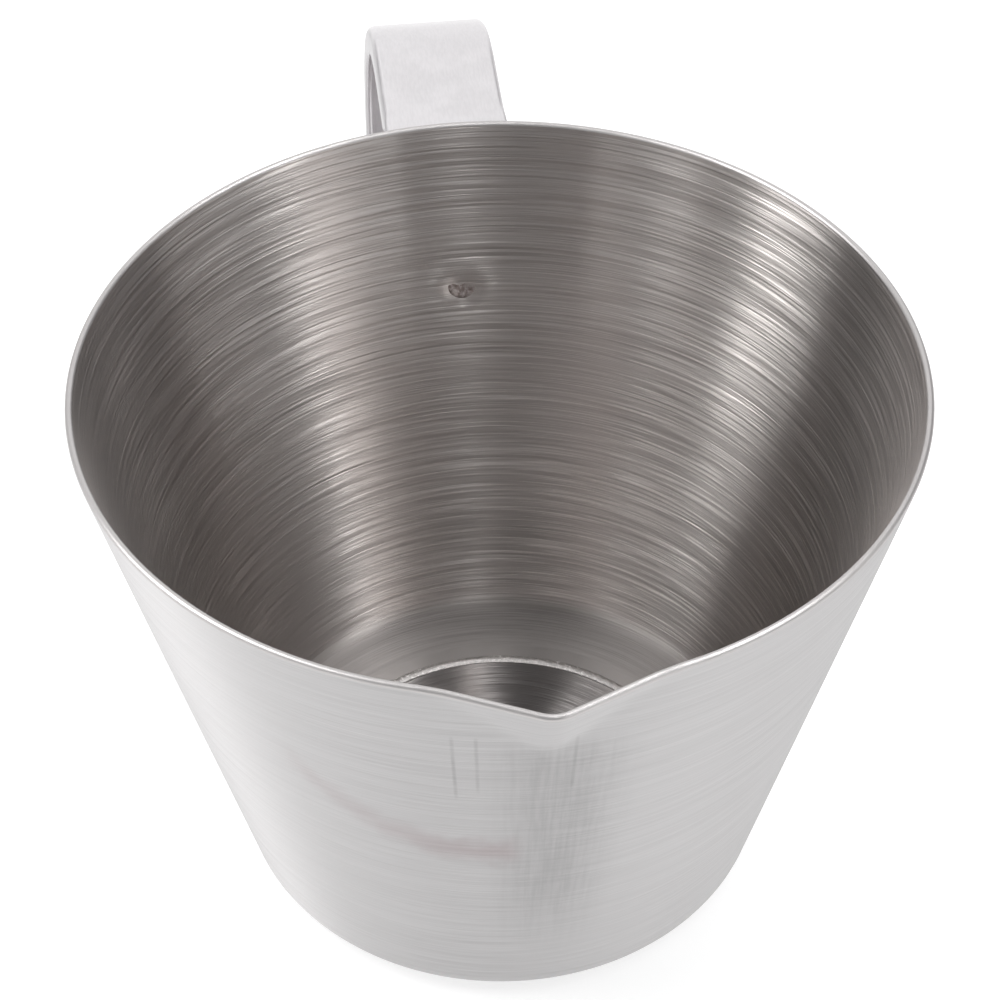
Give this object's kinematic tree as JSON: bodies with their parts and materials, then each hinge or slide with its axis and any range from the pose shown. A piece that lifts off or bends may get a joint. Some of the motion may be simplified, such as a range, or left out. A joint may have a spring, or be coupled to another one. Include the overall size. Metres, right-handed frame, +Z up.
{
  "type": "candle melting pot",
  "caption": "Small conical brushed steel pouring cup with a pressed V spout, a round flat base and a spot-welded strap handle opposite the spout.",
  "frame": {"origin": "centre of the base's underside, on the cup's axis", "axes": "+Z up along the cup's axis, -Y towards the spout, +Y towards the handle, +X to the right seen from the spout"},
  "size_m": [0.067, 0.0957, 0.048],
  "materials": {
    "cup_steel": "turned inside and satin brushed outside",
    "disc_steel": "turned, darker than the wall",
    "weld_steel": "grainy weld bead, brushed over",
    "handle_steel": "bright satin",
    "spot_steel": "dull, heat-tinted spot weld"
  },
  "bodies": {
    "root": {"wall_shell": "cup_steel", "base_disc": "disc_steel", "base_weld_bead": "weld_steel", "handle_strap": "handle_steel", "spot_weld_upper": "spot_steel", "spot_weld_lower": "spot_steel"}
  },
  "joints": []
}
